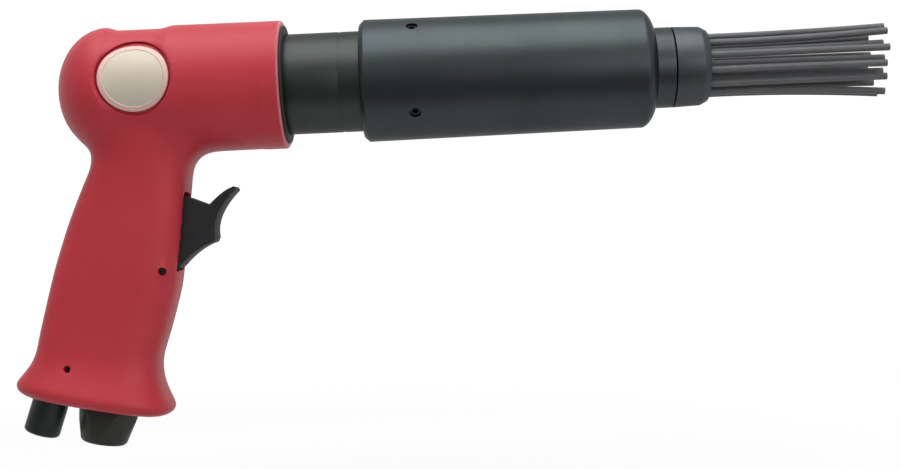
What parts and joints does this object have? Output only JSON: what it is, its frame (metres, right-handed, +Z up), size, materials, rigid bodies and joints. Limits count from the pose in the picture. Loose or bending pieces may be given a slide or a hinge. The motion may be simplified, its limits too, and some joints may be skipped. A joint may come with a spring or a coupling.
{
  "type": "needle scaler",
  "caption": "Pistol-grip pneumatic needle scaler: cast handle with trigger, barrel with piston and anvil, and a tube housing a bundle of steel needles.",
  "frame": {"origin": "middle of the pistol grip, where the hand closes on it", "axes": "+X forward along the barrel towards the needles, +Z up, +Y to the user's left when holding it"},
  "size_m": [0.3717, 0.0548, 0.1772],
  "materials": {
    "red_casting": "satin red enamel on a die casting of aluminium",
    "badge": "satin, bare",
    "blackened_steel": "turned and blackened",
    "black_rubber": "matt",
    "bright_steel": "ground",
    "black_fasteners": "black oxide",
    "black_plastic": "moulded, fine grain",
    "brass": "turned",
    "blackened_fittings": "black oxide, satin",
    "needle_steel": "drawn, dark"
  },
  "bodies": {
    "handle": {"handle_housing": "red_casting", "name_badge": "badge", "barrel": "blackened_steel", "barrel_seal_ring": "black_rubber", "valve_back_plate": "bright_steel", "valve_case": "bright_steel", "valve_pin": "bright_steel", "anvil_buffer": "black_rubber", "return_spring": "bright_steel", "needle_housing": "blackened_steel", "nose_bush": "blackened_steel", "set_screws": "black_fasteners", "trigger_pin": "black_fasteners", "throttle_bush": "brass", "throttle_spring": "bright_steel", "inlet_bush": "blackened_fittings", "inlet_washer": "black_rubber", "inlet_screen": "brass", "regulator_pin": "black_fasteners"},
    "trigger": {"trigger": "black_plastic"},
    "throttle_valve": {"throttle_stem": "bright_steel", "throttle_seal": "black_rubber"},
    "regulator": {"regulator_knob": "blackened_fittings", "regulator_oring": "black_rubber"},
    "piston": {"piston": "bright_steel"},
    "valve_disc": {"valve_disc": "bright_steel"},
    "anvil": {"anvil": "bright_steel"},
    "needle_carrier": {"needle_carrier": "bright_steel"},
    "needle_01": {"needle_01": "needle_steel"},
    "needle_02": {"needle_02": "needle_steel"},
    "needle_03": {"needle_03": "needle_steel"},
    "needle_04": {"needle_04": "needle_steel"},
    "needle_05": {"needle_05": "needle_steel"},
    "needle_06": {"needle_06": "needle_steel"},
    "needle_07": {"needle_07": "needle_steel"},
    "needle_08": {"needle_08": "needle_steel"},
    "needle_09": {"needle_09": "needle_steel"},
    "needle_10": {"needle_10": "needle_steel"},
    "needle_11": {"needle_11": "needle_steel"},
    "needle_12": {"needle_12": "needle_steel"},
    "needle_13": {"needle_13": "needle_steel"},
    "needle_14": {"needle_14": "needle_steel"},
    "needle_15": {"needle_15": "needle_steel"},
    "needle_16": {"needle_16": "needle_steel"},
    "needle_17": {"needle_17": "needle_steel"},
    "needle_18": {"needle_18": "needle_steel"},
    "needle_19": {"needle_19": "needle_steel"}
  },
  "joints": [
    {"name": "trigger_pivot", "type": "hinge", "parent": "handle", "child": "trigger", "pos_m": [0.01715, 0, -0.01888], "axis": [0, -1, 0], "range_deg": [0, 10], "stiffness_Nm_per_rad": 0.6, "springref_deg": -5.73},
    {"name": "throttle_stroke", "type": "slide", "parent": "handle", "child": "throttle_valve", "axis": [-0.9781, 0, 0.2079], "range_m": [0, 0.0042], "deforming": ["throttle_spring"]},
    {"name": "regulator_turn", "type": "hinge", "parent": "handle", "child": "regulator", "pos_m": [-0.03503, 0, -0.07005], "axis": [0.3338, 0, 0.9426], "range_deg": [0, 180]},
    {"name": "piston_stroke", "type": "slide", "parent": "handle", "child": "piston", "axis": [1, 0, 0], "range_m": [0, 0.055]},
    {"name": "valve_flutter", "type": "slide", "parent": "handle", "child": "valve_disc", "axis": [1, 0, 0], "range_m": [0, 0.0019]},
    {"name": "anvil_stroke", "type": "slide", "parent": "handle", "child": "anvil", "axis": [1, 0, 0], "range_m": [0, 0.01], "stiffness_N_per_m": 2500, "springref_m": -0.004},
    {"name": "carrier_stroke", "type": "slide", "parent": "handle", "child": "needle_carrier", "axis": [1, 0, 0], "range_m": [0, 0.01], "deforming": ["return_spring"]},
    {"name": "needle_01_float", "type": "slide", "parent": "needle_carrier", "child": "needle_01", "axis": [1, 0, 0], "range_m": [-0.0035, 0]},
    {"name": "needle_02_float", "type": "slide", "parent": "needle_carrier", "child": "needle_02", "axis": [1, 0, 0], "range_m": [-0.0035, 0]},
    {"name": "needle_03_float", "type": "slide", "parent": "needle_carrier", "child": "needle_03", "axis": [1, 0, 0], "range_m": [-0.0035, 0]},
    {"name": "needle_04_float", "type": "slide", "parent": "needle_carrier", "child": "needle_04", "axis": [1, 0, 0], "range_m": [-0.0035, 0]},
    {"name": "needle_05_float", "type": "slide", "parent": "needle_carrier", "child": "needle_05", "axis": [1, 0, 0], "range_m": [-0.0035, 0]},
    {"name": "needle_06_float", "type": "slide", "parent": "needle_carrier", "child": "needle_06", "axis": [1, 0, 0], "range_m": [-0.0035, 0]},
    {"name": "needle_07_float", "type": "slide", "parent": "needle_carrier", "child": "needle_07", "axis": [1, 0, 0], "range_m": [-0.0035, 0]},
    {"name": "needle_08_float", "type": "slide", "parent": "needle_carrier", "child": "needle_08", "axis": [1, 0, 0], "range_m": [-0.0035, 0]},
    {"name": "needle_09_float", "type": "slide", "parent": "needle_carrier", "child": "needle_09", "axis": [1, 0, 0], "range_m": [-0.0035, 0]},
    {"name": "needle_10_float", "type": "slide", "parent": "needle_carrier", "child": "needle_10", "axis": [1, 0, 0], "range_m": [-0.0035, 0]},
    {"name": "needle_11_float", "type": "slide", "parent": "needle_carrier", "child": "needle_11", "axis": [1, 0, 0], "range_m": [-0.0035, 0]},
    {"name": "needle_12_float", "type": "slide", "parent": "needle_carrier", "child": "needle_12", "axis": [1, 0, 0], "range_m": [-0.0035, 0]},
    {"name": "needle_13_float", "type": "slide", "parent": "needle_carrier", "child": "needle_13", "axis": [1, 0, 0], "range_m": [-0.0035, 0]},
    {"name": "needle_14_float", "type": "slide", "parent": "needle_carrier", "child": "needle_14", "axis": [1, 0, 0], "range_m": [-0.0035, 0]},
    {"name": "needle_15_float", "type": "slide", "parent": "needle_carrier", "child": "needle_15", "axis": [1, 0, 0], "range_m": [-0.0035, 0]},
    {"name": "needle_16_float", "type": "slide", "parent": "needle_carrier", "child": "needle_16", "axis": [1, 0, 0], "range_m": [-0.0035, 0]},
    {"name": "needle_17_float", "type": "slide", "parent": "needle_carrier", "child": "needle_17", "axis": [1, 0, 0], "range_m": [-0.0035, 0]},
    {"name": "needle_18_float", "type": "slide", "parent": "needle_carrier", "child": "needle_18", "axis": [1, 0, 0], "range_m": [-0.0035, 0]},
    {"name": "needle_19_float", "type": "slide", "parent": "needle_carrier", "child": "needle_19", "axis": [1, 0, 0], "range_m": [-0.0035, 0]}
  ],
  "couplings": [
    {"joint": "throttle_stroke", "follows": "trigger_pivot", "m_per_rad": 0.0216},
    {"joint": "carrier_stroke", "follows": "anvil_stroke", "ratio": 1}
  ]
}
